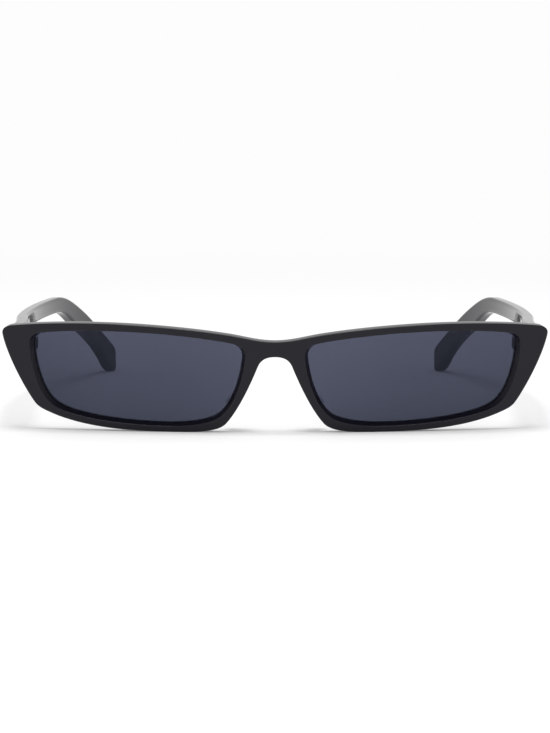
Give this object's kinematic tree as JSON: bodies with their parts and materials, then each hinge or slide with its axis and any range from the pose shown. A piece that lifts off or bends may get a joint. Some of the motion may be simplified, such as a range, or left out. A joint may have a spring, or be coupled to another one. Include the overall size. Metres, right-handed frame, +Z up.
{
  "type": "sunglasses",
  "caption": "Slim dark sunglasses with a wrapped front, narrow rectangular rims swept up at the outer corners, tinted lenses in grooves, cemented nose pads and temples folding on barrel hinges.",
  "frame": {"origin": "on the table that the opened glasses stand on, under the middle of their box", "axes": "+X towards the wearer's left, +Y from the front towards the ears, +Z up; the front faces -Y"},
  "size_m": [0.145, 0.1431, 0.0294],
  "materials": {
    "frame_plastic": "polished black acetate sheet",
    "lens": "dyed blue-grey plastic lens, polished",
    "hinge_metal": "nickel silver, tumbled",
    "screw_metal": "stainless steel, turned",
    "core_wire": "drawn nickel silver wire"
  },
  "bodies": {
    "front": {"front_frame": "frame_plastic", "lens_right": "lens", "lens_left": "lens", "nose_pad_right": "frame_plastic", "nose_pad_left": "frame_plastic", "front_hinge_right": "hinge_metal", "front_hinge_left": "hinge_metal", "hinge_screw_right": "screw_metal", "hinge_screw_left": "screw_metal"},
    "right_temple": {"temple_right": "frame_plastic", "temple_core_right": "core_wire", "temple_hinge_right": "hinge_metal"},
    "left_temple": {"temple_left": "frame_plastic", "temple_core_left": "core_wire", "temple_hinge_left": "hinge_metal"}
  },
  "joints": [
    {"name": "left_fold", "type": "hinge", "parent": "front", "child": "left_temple", "pos_m": [0.06587, -0.05727, 0.0245], "axis": [0, 0, 1], "range_deg": [0, 83]},
    {"name": "right_fold", "type": "hinge", "parent": "front", "child": "right_temple", "pos_m": [-0.06587, -0.05727, 0.0245], "axis": [0, 0, -1], "range_deg": [0, 75]}
  ]
}
